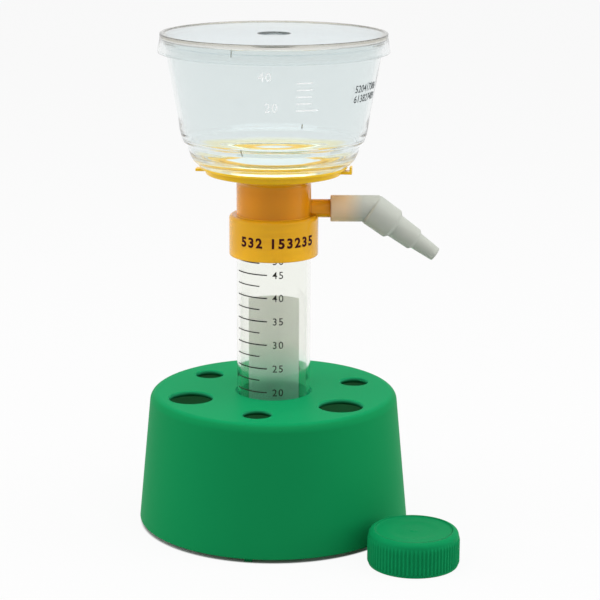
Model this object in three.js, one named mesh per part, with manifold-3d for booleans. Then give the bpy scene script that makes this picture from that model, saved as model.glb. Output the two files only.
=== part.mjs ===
// Vacuum filtration unit: a clear funnel welded to a membrane base that screws on a 50 mL
// centrifuge tube. The tube stands in a moulded tube stand, and its own screw cap lies beside it.
// Millimetres, +Z up. The origin is the centre of the footprint, on the bench.

import * as THREE from 'three';
import { mergeVertices } from 'three/addons/utils/BufferGeometryUtils.js';
import Module from 'manifold-3d';

const wasm = await Module();
wasm.setup();

// ---- driving dimensions ----
const seat = 0.3; // clearance left between pieces that seat on each other
const around = 48; // facets round a turned form

const footHeight = 1.4; // the stand's rim is held this far above the bench
const footCircle = 50.8; // radius on which the three feet stand
const standTop = 52.5;
const standRadius = 52.9;
const standTopRadius = 48.4;
const standWall = 2;
const holeCircle = 33.9; // radius on which the six small holes stand
const largeHole = 8.6; // takes a 15 mL tube
const smallHole = 5.6; // takes a microtube
const firstHole = -9.8; // degrees from the front, seen from above
const wellRadius = 14.9; // bore of the centre socket that holds the tube

const tubeRadius = 14.3;
const tubeBore = 13.1;
const tubeTip = 8.2;
const tubeCone = 15.6; // height of the conical bottom
const tubeRim = 120.4;
const tipRadius = 3;

const collarRadius = 17.2;
const collarBore = 15.9;
const collarFoot = 107.1;
const collarTop = 122.9;
const sealThickness = 0.8;
const neckRadius = 14.35;
const neckBore = 12.95;
const portHeight = 125.1;
const stubRadius = 3.55;
const stubEnd = 34.2; // from the tube's axis

const dishRadius = 26.2;
const dishEdge = 139.1; // height of the dish's lower corner
const dishSlope = 0.26; // rise of the draining floor for each millimetre outwards
const dishFloor = 1.5;
const flangeRadius = 28.3;
const flangeTop = 142.2;
const supportRadius = 26.9;
const supportTop = 143.2;
const ledgeInside = 20.3; // inner edge of the flat ledge that carries the membrane's edge
const membraneRadius = 21.5;
const membraneThickness = 0.3;
const spoutRadius = 5.4;
const spoutTip = 112.6;
const ribsUnderMembrane = 16;

const funnelFootRadius = 28.4;
const funnelWall = 1.4;
const funnelRim = 190.4;
const lidTop = 192.5;
const lidRadius = 43.9;

const adapterStart = 21.8;
const adapterRadius = 5.1;
const adapterBore = 1.9;
const bendDistance = 37.3; // from the tube's axis to the elbow
const bendAngle = 35.5; // degrees below the port's axis

const capRadius = 17.3;
const capRoot = 16.85; // radius between the grip ribs
const capHeight = 13.3;
const capPlace = [53.1, -50.5]; // from the tube's axis
const gripRibs = 72;

// ---- turning, cutting and finishing ----

const radians = THREE.MathUtils.degToRad;

// Direction in plan, in degrees from the front (-Y) towards +X.
const planDirection = (degrees) => [Math.sin(radians(degrees)), -Math.cos(radians(degrees))];

// A round stretch of a profile, both ends included, as [distance from the axis, height].
function arc(cx, cz, radius, from, to, steps) {
  const points = [];
  for (let i = 0; i <= steps; i += 1) {
    const angle = radians(from + ((to - from) * i) / steps);
    points.push([cx + radius * Math.cos(angle), cz + radius * Math.sin(angle)]);
  }
  return points;
}

// A profile runs out along its foot, up the outside and back down the inside. It starts and ends
// on the axis, or closes on itself.
function revolve(profile, segments = around) {
  const points = profile.map(([r, z]) => new THREE.Vector2(r, z));
  if (profile[0][0] !== 0) points.push(points[0].clone());
  return new THREE.LatheGeometry(points, segments).rotateX(Math.PI / 2);
}

function solid(geometry) {
  geometry.deleteAttribute('normal');
  geometry.deleteAttribute('uv');
  const merged = mergeVertices(geometry, 1e-4);
  const triangles = [];
  for (let i = 0; i < merged.index.count; i += 3) {
    const corners = [0, 1, 2].map((k) => merged.index.getX(i + k));
    if (new Set(corners).size === 3) triangles.push(...corners);
  }
  return new wasm.Manifold(new wasm.Mesh({
    numProp: 3,
    vertProperties: merged.attributes.position.array,
    triVerts: Uint32Array.from(triangles),
  }));
}

const turned = (profile, segments) => solid(revolve(profile, segments));
const joined = (solids) => solids.reduce((all, next) => all.add(next));

function piece(name, body, color, finish) {
  const mesh = body.getMesh();
  const geometry = new THREE.BufferGeometry();
  geometry.setAttribute('position', new THREE.BufferAttribute(mesh.vertProperties, 3));
  geometry.setIndex(new THREE.BufferAttribute(mesh.triVerts, 1));
  geometry.computeVertexNormals();
  const part = new THREE.Mesh(geometry, new THREE.MeshStandardMaterial({ color, ...finish }));
  part.name = name;
  return part;
}

const clearPlastic = { transparent: true, opacity: 0.3, roughness: 0.1, metalness: 0 };
const solidPlastic = { roughness: 0.45, metalness: 0 };

// ---- tube stand: one moulded shell, open below, with a closed socket for the tube ----

function standShell() {
  const corner = 3.5;
  const ceiling = standTop - standWall;
  const coneTop = tubeTip + tubeCone;
  const socketFloor = tubeTip - 2 * seat;
  const socketWall = 1.6;
  return turned([
    [standRadius - standWall, footHeight],
    [standRadius - 0.5, footHeight],
    [standRadius, footHeight + 0.5],
    ...arc(standTopRadius - corner, standTop - corner, corner, 5, 90, 5),
    [wellRadius + 0.4, standTop],
    [wellRadius, standTop - 0.4],
    [wellRadius - 0.2, coneTop],
    [tipRadius + seat, tubeTip + 0.5],
    [0, socketFloor],
    [0, socketFloor - socketWall],
    [tipRadius + 1, socketFloor - socketWall],
    [wellRadius + socketWall - 0.3, coneTop - 1],
    [wellRadius + socketWall, ceiling],
    ...arc(standTopRadius - corner, ceiling - 2, 2, 90, 5, 2),
  ]);
}

function holeCutter(radius, degrees) {
  const bevel = 0.6;
  const [x, y] = planDirection(degrees);
  return solid(revolve([
    [0, standTop - 5],
    [radius, standTop - 5],
    [radius, standTop - bevel],
    [radius + bevel, standTop],
    [radius + bevel, standTop + 1],
    [0, standTop + 1],
  ], 28).translate(x * holeCircle, y * holeCircle, 0));
}

function standFoot(degrees) {
  const [x, y] = planDirection(degrees);
  const height = footHeight + 1;
  return solid(new THREE.BoxGeometry(3, 1.2, height)
    .translate(0, 0, height / 2)
    .rotateZ(radians(degrees))
    .translate(x * footCircle, y * footCircle, 0));
}

function tubeStand() {
  const thirds = [0, 120, 240].map((turn) => firstHole + turn);
  const holes = thirds.flatMap((angle) => [
    holeCutter(smallHole, angle),
    holeCutter(largeHole, angle + 60),
  ]);
  const shell = standShell().subtract(joined(holes));
  return piece('tube_stand', joined([shell, ...thirds.map(standFoot)]), 0x149a5b, solidPlastic);
}

// ---- centrifuge tube: thin wall and conical bottom ----

function centrifugeTube() {
  const coneTop = tubeTip + tubeCone;
  const edge = 0.3;
  return piece('centrifuge_tube', turned([
    [0, tubeTip],
    [tipRadius - 1.2, tubeTip],
    [tipRadius, tubeTip + 0.8],
    [tubeRadius - 0.5, coneTop - 0.9],
    [tubeRadius, coneTop + 0.5],
    [tubeRadius, tubeRim - edge],
    [tubeRadius - edge, tubeRim],
    [tubeBore + edge, tubeRim],
    [tubeBore, tubeRim - edge],
    [tubeBore, coneTop + 0.7],
    [tubeBore - 0.5, coneTop - 0.7],
    [tipRadius - 1, tubeTip + 2],
    [0, tubeTip + 1.4],
  ]), 0xeef2f0, clearPlastic);
}

// ---- rim seal: flat ring between the tube's rim and the roof of the collar ----

const sealFoot = tubeRim + seat;
const collarRoof = sealFoot + sealThickness + seat;

function rimSeal() {
  const inner = tubeBore + seat;
  const outer = collarBore - seat;
  return piece('rim_seal', turned([
    [inner, sealFoot],
    [outer, sealFoot],
    [outer, sealFoot + sealThickness],
    [inner, sealFoot + sealThickness],
  ]), 0xe9e6dc, { roughness: 0.6, metalness: 0 });
}

// ---- filter base: collar, neck, side port, spout and membrane dish in one moulding ----

const underside = (r) => dishEdge - (dishRadius - r) * dishSlope;

function baseShell() {
  const corner = 1.5;
  const flare = 1.5;
  const drain = 3.9;
  return turned([
    [collarBore, collarFoot],
    [collarRadius - 0.4, collarFoot],
    [collarRadius, collarFoot + 0.5],
    ...arc(collarRadius - corner, collarTop - corner, corner, 0, 90, 4),
    [neckRadius, collarTop],
    [neckRadius, underside(neckRadius) - flare],
    [neckRadius + flare, underside(neckRadius + flare)],
    [dishRadius, dishEdge],
    [dishRadius, flangeTop - 1],
    [flangeRadius, flangeTop - 0.8],
    [flangeRadius, flangeTop],
    [supportRadius, flangeTop],
    [supportRadius, supportTop],
    [ledgeInside, supportTop],
    [ledgeInside, underside(ledgeInside) + dishFloor],
    [spoutRadius, underside(spoutRadius) + dishFloor],
    [drain, underside(spoutRadius) + dishFloor - 0.9],
    [drain - 0.4, spoutTip],
    [spoutRadius - 0.6, spoutTip],
    [spoutRadius, underside(spoutRadius)],
    [neckBore, underside(neckBore)],
    [neckBore, collarRoof],
    [collarBore, collarRoof],
  ]);
}

// Radial ribs carry the membrane, every second one short, and the filtrate drains between them.
// Each rib's foot follows the sloping floor.
function supportRib(index) {
  const inner = index % 2 === 0 ? spoutRadius + 0.2 : supportRadius / 2;
  const outer = ledgeInside + 1;
  const outline = new THREE.Shape([
    new THREE.Vector2(inner, underside(inner) + dishFloor / 2),
    new THREE.Vector2(outer, underside(outer) + dishFloor / 2),
    new THREE.Vector2(outer, supportTop - 0.2),
    new THREE.Vector2(inner, supportTop - 0.2),
  ]);
  const thickness = 0.9;
  return solid(new THREE.ExtrudeGeometry(outline, { depth: thickness, bevelEnabled: false })
    .translate(0, 0, -thickness / 2)
    .rotateX(Math.PI / 2)
    .rotateZ((index * 2 * Math.PI) / ribsUnderMembrane));
}

function portStub() {
  const root = (neckRadius + neckBore) / 2;
  return solid(revolve([
    [0, root],
    [stubRadius, root],
    [stubRadius, stubEnd - 0.6],
    [stubRadius - 0.4, stubEnd],
    [0, stubEnd],
  ], 24).rotateY(Math.PI / 2).translate(0, 0, portHeight));
}

function portBore() {
  const radius = 2.3;
  const start = (neckBore + spoutRadius) / 2;
  return solid(new THREE.CylinderGeometry(radius, radius, stubEnd + 1 - start, 24)
    .rotateZ(Math.PI / 2)
    .translate((stubEnd + 1 + start) / 2, 0, portHeight));
}

// A small grip lug under the flange. The one over the port has an upturned lip.
function gripLug(degrees, lip) {
  const reach = 30.1;
  const root = dishRadius - 0.8;
  const width = 4;
  const thickness = 1.1;
  const arm = new THREE.BoxGeometry(width, reach - root, thickness)
    .translate(0, -(reach + root) / 2, dishEdge + thickness / 2)
    .rotateZ(radians(degrees));
  const end = new THREE.BoxGeometry(width, 0.9, thickness + lip)
    .translate(0, 0.45 - reach, dishEdge + (thickness + lip) / 2)
    .rotateZ(radians(degrees));
  return lip > 0 ? solid(arm).add(solid(end)) : solid(arm);
}

function filterBase() {
  const ribs = Array.from({ length: ribsUnderMembrane }, (_, index) => supportRib(index));
  const body = joined([baseShell(), ...ribs, portStub(), gripLug(84, 1.7), gripLug(-96, 0)]);
  return piece('filter_base', body.subtract(portBore()), 0xdc9a26, {
    transparent: true, opacity: 0.9, roughness: 0.3, metalness: 0,
  });
}

// ---- membrane: a disc sealed by its edge to the base's ledge ----

const membraneFoot = supportTop + seat;

function membrane() {
  return piece('membrane', turned([
    [0, membraneFoot],
    [membraneRadius, membraneFoot],
    [membraneRadius, membraneFoot + membraneThickness],
    [0, membraneFoot + membraneThickness],
  ]), 0xf4f4f0, { roughness: 0.8, metalness: 0 });
}

// ---- funnel: clear bowl with a step low in its wall and a rounded foot that is welded to the base ----

function funnel() {
  const foot = flangeTop + seat;
  const clamp = membraneFoot + membraneThickness + seat;
  const throat = supportRadius - 1.4;
  const bowl = 36.3;
  const bowlFoot = 160;
  const rim = 41.4;
  const bead = 0.5;
  return piece('funnel', turned([
    [supportRadius + seat, foot],
    [funnelFootRadius, foot],
    [30.2, 143.6],
    [31.3, 144.9],
    [32, 146.4],
    [32.6, 148.2],
    [33, 150.2],
    [34.7, 151.8],
    [35.4, 153.9],
    [35.9, 156.3],
    [bowl, bowlFoot],
    [rim, funnelRim - 2],
    [rim + bead, funnelRim - 1.6],
    [rim + bead, funnelRim - 0.4],
    [rim + bead - 0.4, funnelRim],
    [rim + 0.3 - funnelWall, funnelRim],
    [bowl - funnelWall, bowlFoot],
    [34.4, 156.2],
    [33.5, 153.1],
    [31.6, 151],
    [31.2, 148.4],
    [30.6, 147],
    [29.6, 145.8],
    [28.2, 145],
    [throat, clamp + 0.6],
    [throat, clamp],
    [supportRadius + seat, clamp],
  ]), 0xe6eced, clearPlastic);
}

// ---- funnel lid: loose clear lid with a raised rim, a flared skirt and a round gate recess ----

function funnelLid() {
  const plateTop = lidTop - 0.4;
  const plateFoot = funnelRim + seat;
  const upper = lidRadius - 0.75;
  const skirt = 1.05;
  const skirtFoot = 185.3;
  const gate = 7;
  return piece('funnel_lid', turned([
    [0, plateFoot],
    [upper - skirt, plateFoot],
    [lidRadius - skirt, skirtFoot],
    [lidRadius - 0.3, skirtFoot],
    [lidRadius, skirtFoot + 0.4],
    [lidRadius, skirtFoot + 1.2],
    [upper, plateFoot],
    [upper, lidTop - 0.6],
    [upper - 0.6, lidTop],
    [upper - 1.4, lidTop],
    [upper - 1.8, plateTop],
    [gate + 0.2, plateTop],
    [gate, plateTop - 0.6],
    [0, plateTop - 0.6],
  ]), 0xe8edee, clearPlastic);
}

// ---- hose adapter: a stepped elbow pushed over the port stub ----

function adapterSleeve() {
  const length = bendDistance + 3.4 - adapterStart;
  return solid(revolve([
    [0, 0],
    [adapterRadius - 0.4, 0],
    [adapterRadius, 0.4],
    [adapterRadius, length],
    [0, length],
  ], 28).rotateY(Math.PI / 2).translate(adapterStart, 0, portHeight));
}

// Three tapered lengths, each thinner than the one before, for hoses of three bores.
function adapterBarb() {
  const step = 10.3;
  const chamfer = 1;
  const tiltDown = radians(90 + bendAngle);
  const outside = solid(revolve([
    [0, -0.2],
    [5.8, -0.2],
    [6.3, 0.4],
    [6.1, step],
    [4.75, step + chamfer],
    [4.4, 2 * step],
    [3.4, 2 * step + chamfer],
    [3.05, 3 * step - 0.3],
    [2.75, 3 * step],
    [0, 3 * step],
  ], 28).rotateY(tiltDown).translate(bendDistance, 0, portHeight));
  const bore = solid(new THREE.CylinderGeometry(adapterBore, adapterBore, 3 * step + 1, 20)
    .rotateX(Math.PI / 2)
    .translate(0, 0, (3 * step + 1) / 2)
    .rotateY(tiltDown)
    .translate(bendDistance, 0, portHeight));
  return { outside, bore };
}

function hoseAdapter() {
  const socketEnd = stubEnd + seat;
  const socket = solid(revolve([
    [0, adapterStart - 1],
    [stubRadius + seat, adapterStart - 1],
    [stubRadius + seat, socketEnd],
    [2.4, socketEnd + 0.1],
    [2.4, bendDistance + 1],
    [0, bendDistance + 1],
  ], 24).rotateY(Math.PI / 2).translate(0, 0, portHeight));
  const barb = adapterBarb();
  const body = adapterSleeve().add(barb.outside).subtract(socket).subtract(barb.bore);
  return piece('hose_adapter', body, 0xb4b8ae, { roughness: 0.4, metalness: 0 });
}

// ---- tube cap: ribbed screw cap with a plug ring under its top ----

function capBody() {
  const plate = capHeight - 0.3;
  return turned([
    [0, 0],
    [capRoot - 0.3, 0],
    [capRoot, 0.4],
    ...arc(capRoot - 1.9, capHeight - 1.9, 1.9, 0, 90, 3),
    [14.6, capHeight],
    [14.2, plate],
    [1.4, plate],
    [0, plate - 0.4],
  ], gripRibs);
}

// The ribs run from just above the rim to the shoulder, where they taper away. Each stands in the
// middle of one facet of the cap's wall.
function capRibs() {
  const outline = new THREE.Shape();
  for (let rib = 0; rib < gripRibs; rib += 1) {
    const pitch = (2 * Math.PI) / gripRibs;
    const flank = [[-0.36, capRoot - 0.4], [-0.17, capRadius], [0.17, capRadius], [0.36, capRoot - 0.4]];
    flank.forEach(([share, r], corner) => {
      const angle = (rib + 0.5 + share) * pitch;
      const draw = rib === 0 && corner === 0 ? 'moveTo' : 'lineTo';
      outline[draw](r * Math.cos(angle), r * Math.sin(angle));
    });
  }
  const foot = 0.9;
  const top = 11.2;
  const bars = new THREE.ExtrudeGeometry(outline, { depth: top - foot, bevelEnabled: false });
  const envelope = turned([
    [0, 0],
    [capRadius + 0.2, 0],
    [capRadius + 0.2, 9.4],
    [capRoot - 0.5, top],
    [0, top],
  ], gripRibs);
  return solid(bars.translate(0, 0, foot)).intersect(envelope);
}

function capInside() {
  const ceiling = capHeight - 1.6;
  return turned([
    [0, -1],
    [collarBore - 0.1, -1],
    [collarBore - 0.1, ceiling],
    [12.9, ceiling],
    [12.8, ceiling - 2],
    [12.1, ceiling - 2],
    [12, ceiling],
    [0, ceiling],
  ], 24);
}

function tubeCap() {
  const body = capBody().add(capRibs()).subtract(capInside());
  return piece('tube_cap', body, 0x0f8f52, solidPlastic);
}

// ---- assembly ----

const filterHead = new THREE.Group();
filterHead.add(filterBase(), membrane(), funnel(), funnelLid(), hoseAdapter());

const cap = tubeCap();
cap.position.set(capPlace[0], capPlace[1], 0);

// The footprint runs from the stand's left and back edges to the cap's right and front edges.
const unit = new THREE.Group();
unit.add(tubeStand(), centrifugeTube(), rimSeal(), filterHead, cap);
unit.position.set(
  (standRadius - capRadius - capPlace[0]) / 2,
  (capRadius - standRadius - capPlace[1]) / 2,
  0,
);

const filtrationUnit = new THREE.Group();
filtrationUnit.add(unit);
filtrationUnit.updateMatrixWorld(true);

export default filtrationUnit;
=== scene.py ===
import bpy
import numpy as np
from mathutils import Matrix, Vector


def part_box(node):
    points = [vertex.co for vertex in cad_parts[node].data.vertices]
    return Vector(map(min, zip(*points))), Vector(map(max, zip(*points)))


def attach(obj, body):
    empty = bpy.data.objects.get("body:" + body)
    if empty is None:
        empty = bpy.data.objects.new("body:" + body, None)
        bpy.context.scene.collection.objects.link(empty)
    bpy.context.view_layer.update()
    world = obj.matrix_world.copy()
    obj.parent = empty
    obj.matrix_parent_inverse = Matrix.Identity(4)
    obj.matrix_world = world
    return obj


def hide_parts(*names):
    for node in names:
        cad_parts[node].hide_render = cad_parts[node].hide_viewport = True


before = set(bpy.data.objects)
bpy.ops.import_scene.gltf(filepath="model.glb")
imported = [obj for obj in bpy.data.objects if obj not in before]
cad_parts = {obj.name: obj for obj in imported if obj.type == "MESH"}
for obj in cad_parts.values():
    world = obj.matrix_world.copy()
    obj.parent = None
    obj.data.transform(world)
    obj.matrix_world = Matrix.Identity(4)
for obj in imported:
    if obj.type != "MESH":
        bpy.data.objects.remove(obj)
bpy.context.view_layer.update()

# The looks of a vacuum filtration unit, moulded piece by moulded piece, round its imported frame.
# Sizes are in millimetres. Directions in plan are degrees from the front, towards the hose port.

MM = 0.001


# ---- Camera and studio ----
# A long portrait lens looks a little down on the unit from the front. The bench is a plain pale
# table, and the light is a large overhead softbox with a strip softbox on each side.

tube_low, tube_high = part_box("centrifuge_tube")
axis_x, axis_y = ((tube_low + tube_high) / 2 / MM).to_2d()


def new_material(name):
    """A material with an empty node tree."""
    material = bpy.data.materials.new(name)
    material.use_nodes = True
    material.node_tree.nodes.clear()
    return material


def add_node(owner, kind, inputs=None, **settings):
    """Adds a shader node. Inputs are values, or sockets to link, by socket name or number."""
    made = owner.node_tree.nodes.new("ShaderNode" + kind)
    for name, value in settings.items():
        setattr(made, name, value)
    for name, value in (inputs or {}).items():
        if isinstance(value, bpy.types.NodeSocket):
            owner.node_tree.links.new(value, made.inputs[name])
        else:
            made.inputs[name].default_value = value
    return made


def linear(code):
    """Linear colour with alpha from an sRGB hex code: below 0.04045 a straight line, above it a 2.4 power."""
    levels = np.array([int(code[i:i + 2], 16) for i in (1, 3, 5)]) / 255
    channels = np.where(levels <= 0.04045, levels / 12.92, ((levels + 0.055) / 1.055) ** 2.4)
    return (*channels.tolist(), 1.0)


def add_camera():
    """In front of the unit, above it and a little to its right, aimed 14 degrees down."""
    right, forward, up = 10.24, -765.35, 275.93
    pitch, roll = 76.255, 0.257
    lens = bpy.data.cameras.new("portrait_lens")
    lens.lens = 121.604
    lens.sensor_width = 36
    lens.clip_end = 10
    camera = bpy.data.objects.new("camera", lens)
    place = Matrix.Translation(((axis_x + right) * MM, (axis_y + forward) * MM, up * MM))
    aim = Matrix.Rotation(np.radians(pitch), 4, "X") @ Matrix.Rotation(np.radians(roll), 4, "Z")
    camera.matrix_world = place @ aim
    bpy.context.scene.collection.objects.link(camera)
    bpy.context.scene.camera = camera


def add_softbox(name, watts, width, height, azimuth, elevation, distance):
    """A rectangular lamp that faces the middle of the unit from that direction, in millimetres. Only a lamp high
    up is mirrored in clear walls or seen through them, because a low one would draw a bright oblong there."""
    high_up = elevation > 45
    middle_height = 90
    lamp = bpy.data.lights.new(name, "AREA")
    lamp.shape = "RECTANGLE"
    lamp.size, lamp.size_y = width * MM, height * MM
    lamp.energy = watts
    softbox = bpy.data.objects.new(name, lamp)
    softbox.visible_transmission = high_up
    softbox.visible_glossy = high_up
    turn = Matrix.Rotation(np.radians(azimuth), 4, "Z") @ Matrix.Rotation(np.radians(90 - elevation), 4, "X")
    middle = Matrix.Translation((axis_x * MM, axis_y * MM, middle_height * MM))
    softbox.matrix_world = middle @ turn @ Matrix.Translation((0, 0, distance * MM))
    bpy.context.scene.collection.objects.link(softbox)


def seen_directly(owner):
    """1 for what the camera sees itself, mirrored in a surface or through a clear one."""
    path = add_node(owner, "LightPath")
    seen = add_node(owner, "Math", {0: path.outputs["Is Camera Ray"], 1: path.outputs["Is Glossy Ray"]},
                    operation="MAXIMUM")
    return add_node(owner, "Math", {0: seen.outputs[0], 1: path.outputs["Is Transmission Ray"]},
                    operation="MAXIMUM").outputs[0]


def light_the_room():
    """A white room. Seen directly it is plain white, and it lights the unit at less than half of that."""
    world = bpy.data.worlds.new("pale_room")
    world.use_nodes = True
    world.node_tree.nodes.clear()
    white = (1, 1, 1, 1)
    shown = add_node(world, "Background", {"Color": white, "Strength": 1.0})
    fill = add_node(world, "Background", {"Color": white, "Strength": 0.45})
    mixed = add_node(world, "MixShader", {0: seen_directly(world), 1: fill.outputs[0], 2: shown.outputs[0]})
    add_node(world, "OutputWorld", {"Surface": mixed.outputs[0]})
    bpy.context.scene.world = world


def distance_from_axis(material, place):
    """The shading point's distance from the unit's upright axis: its length in plan, whatever the height."""
    in_plan_only = add_node(material, "VectorMath", {0: place, 1: (1, 1, 0)}, operation="MULTIPLY")
    return add_node(material, "VectorMath", {0: in_plan_only.outputs[0], 1: (axis_x * MM, axis_y * MM, 0)},
                    operation="DISTANCE").outputs["Value"]


def lay_the_bench():
    """A square sheet with its top at height 0. Seen directly it is mostly its own white, so a soft shadow stays,
    but under the hollow stand it is only as bright as the light that gets in."""
    half = 3000 * MM
    shade_edge = 52
    own_white = 0.92
    mesh = bpy.data.meshes.new("bench")
    corners = [(-half, -half, 0), (half, -half, 0), (half, half, 0), (-half, half, 0)]
    mesh.from_pydata(corners, [], [(0, 1, 2, 3)])
    bench = bpy.data.objects.new("bench", mesh)
    bpy.context.scene.collection.objects.link(bench)
    paper = new_material("matt_white_paper")
    lit = add_node(paper, "BsdfDiffuse", {"Color": (0.6, 0.6, 0.6, 1)})
    glow = add_node(paper, "Emission", {"Color": (1, 1, 1, 1), "Strength": 1.0})
    away = distance_from_axis(paper, add_node(paper, "TexCoord").outputs["Object"])
    open_bench = add_node(paper, "MapRange", {
        "Value": away, "From Min": shade_edge * MM, "From Max": (shade_edge + 1) * MM, "To Max": own_white})
    share = add_node(paper, "Math", {0: seen_directly(paper), 1: open_bench.outputs[0]}, operation="MULTIPLY")
    mixed = add_node(paper, "MixShader", {0: share.outputs[0], 1: lit.outputs[0], 2: glow.outputs[0]})
    add_node(paper, "OutputMaterial", {"Surface": mixed.outputs[0]})
    mesh.materials.append(paper)


add_camera()
add_softbox("overhead_softbox", 7.2, width=1100, height=1100, azimuth=0, elevation=82, distance=900)
add_softbox("left_strip", 5.3, width=700, height=1000, azimuth=-85, elevation=20, distance=900)
add_softbox("right_strip", 5.6, width=700, height=1000, azimuth=85, elevation=20, distance=900)
light_the_room()
lay_the_bench()
bpy.context.scene.view_settings.view_transform = "Standard"
bpy.context.scene.cycles.use_denoising = True
clear_wall_bounces = 24
bpy.context.scene.cycles.max_bounces = clear_wall_bounces
bpy.context.scene.cycles.glossy_bounces = clear_wall_bounces
bpy.context.scene.cycles.transmission_bounces = clear_wall_bounces


# ---- Tube stand ----
# One injection-moulded polypropylene shell, open below: sloping skirt, flat top with three holes for
# small tubes and three for microtubes, and a closed conical socket in the middle. It stands on three
# small feet under its rim.

stand_top = 52.5
stand_radius = 52.9
stand_top_radius = 48.4
stand_wall = 2.0
stand_rim = 1.4
stand_foot_radius = 50.8
socket_radius = 14.7
socket_cone_top = 23.8
hole_circle = 33.9
hole_radii = (5.6, 8.6)
first_hole = -9.8


def arc(centre_r, centre_z, radius, start, end, steps=8):
    """Points on a round stretch of an outline, by the cosine and sine of evenly spaced angles."""
    angle = np.radians(np.linspace(start, end, steps + 1))
    return np.stack([centre_r + radius * np.cos(angle), centre_z + radius * np.sin(angle)], 1)


def eased(corners, steps=5):
    """Outline with its corners eased. A corner is (distance from the axis, height, ease): its curve is the
    parabola that leaves both neighbouring edges at that ease from the corner and has the corner as control
    point. A corner without ease gives points that coincide, which make_piece joins again."""
    corners = np.array(corners, float)
    tip, ease = corners[:, None, :2], corners[:, None, 2:]
    before = np.roll(corners[:, :2], 1, 0)[:, None] - tip
    after = np.roll(corners[:, :2], -1, 0)[:, None] - tip
    start = tip + before / np.linalg.norm(before, axis=2, keepdims=True) * ease
    end = tip + after / np.linalg.norm(after, axis=2, keepdims=True) * ease
    t = np.linspace(0, 1, steps + 1)[None, :, None]
    return ((1 - t) ** 2 * start + 2 * t * (1 - t) * tip + t ** 2 * end).reshape(-1, 2)


def turned(outline, segments, relief=None):
    """Surface of revolution about the z axis. Outline step k and turn angle a give (r sin a, -r cos a, z).
    The outline runs out along the foot, up the outside and down the inside. relief(a, r, z) is added to r."""
    angle = (np.arange(segments) * 2 * np.pi / segments)[None, :]
    radius, height = outline[:, :1], outline[:, 1:]
    reach = radius + (relief(angle, radius, height) if relief else 0 * angle)
    points = np.stack([reach * np.sin(angle), -reach * np.cos(angle), height + 0 * angle], -1)
    return points.reshape(-1, 3), grid_faces(len(outline), segments, True, True)


def grid_faces(rows, columns, rows_close, columns_close):
    """Quads between neighbours on a grid of points, which may close on itself in either direction."""
    row_starts, column_starts = np.arange(rows - (not rows_close)), np.arange(columns - (not columns_close))
    k, j = np.meshgrid(row_starts, column_starts, indexing="ij")
    above, beside = (k + 1) % rows, (j + 1) % columns
    quads = [k * columns + j, k * columns + beside, above * columns + beside, above * columns + j]
    return np.stack(quads, -1).reshape(-1, 4)


def joined(*surfaces):
    """Several (points, quads) surfaces as one."""
    starts = np.cumsum([0] + [len(points) for points, _ in surfaces[:-1]])
    return (np.concatenate([points for points, _ in surfaces]),
            np.concatenate([quads + start for (_, quads), start in zip(surfaces, starts)]))


def moved(surface, x, y, z=0.0):
    """A surface shifted by that much."""
    return surface[0] + np.array([x, y, z]), surface[1]


def make_piece(name, surface, place=(axis_x, axis_y, 0)):
    """Mesh object from a surface in millimetres. Points that coincide to a ten-thousandth of a millimetre become
    one, a quad that loses a corner is a triangle, and one that loses more is left out."""
    points, index = np.unique(np.round(surface[0] + np.array(place), 4) + 0.0, axis=0, return_inverse=True)
    corners = index.reshape(-1)[surface[1]]
    kept = corners != np.roll(corners, -1, axis=1)
    count = kept.sum(1)
    triangles = corners[count == 3][kept[count == 3]].reshape(-1, 3)
    mesh = bpy.data.meshes.new(name)
    mesh.from_pydata(points * MM, [], corners[count == 4].tolist() + triangles.tolist())
    mesh.shade_smooth()
    piece = bpy.data.objects.new(name, mesh)
    bpy.context.scene.collection.objects.link(piece)
    return piece


def reshape_with(piece, tool, operation):
    """Cuts the tool out of the piece, or joins it on, for good, and throws the tool away."""
    step = piece.modifiers.new(operation.lower(), "BOOLEAN")
    step.operation, step.object, step.solver = operation, tool, "EXACT"
    depsgraph = bpy.context.evaluated_depsgraph_get()
    mesh = bpy.data.meshes.new_from_object(piece.evaluated_get(depsgraph))
    piece.modifiers.clear()
    piece.data = mesh
    bpy.data.objects.remove(tool)


def finish_piece(piece, material, body, slot, *nodes):
    """Gives a piece its material and its body, and hides the imported nodes that it stands for. The slot is
    not used. Its shading follows its larger faces."""
    piece.data.materials.clear()
    piece.data.materials.append(material)
    piece.modifiers.new("shading", "WEIGHTED_NORMAL").weight = 75
    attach(piece, body)
    if nodes:
        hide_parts(*nodes)


def in_plan(degrees, distance):
    """Place at that direction and distance from the axis."""
    return distance * np.sin(np.radians(degrees)), -distance * np.cos(np.radians(degrees))


def stand_outline():
    """Up the skirt, across the top, down into the socket to its closed tip, and back under the top."""
    edge, corner, inner_corner = 0.5, 3.5, 2
    roof = stand_top - stand_wall
    return np.concatenate([
        [[stand_radius - stand_wall, stand_rim]],
        arc(stand_radius - edge, stand_rim + edge, edge, -90, 0, 4),
        arc(stand_top_radius - corner, stand_top - corner, corner, 5, 90, 14),
        [[socket_radius + 0.4, stand_top], [socket_radius + 0.2, stand_top - 0.2]],
        [[socket_radius, socket_cone_top], [3.3, 8.7], [0, 7.6]],
        [[0, 6.0], [4.0, 6.0], [socket_radius + 1.5, socket_cone_top - 1], [socket_radius + 1.8, roof]],
        arc(stand_top_radius - corner, roof - inner_corner, inner_corner, 90, 5, 5),
    ])


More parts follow.
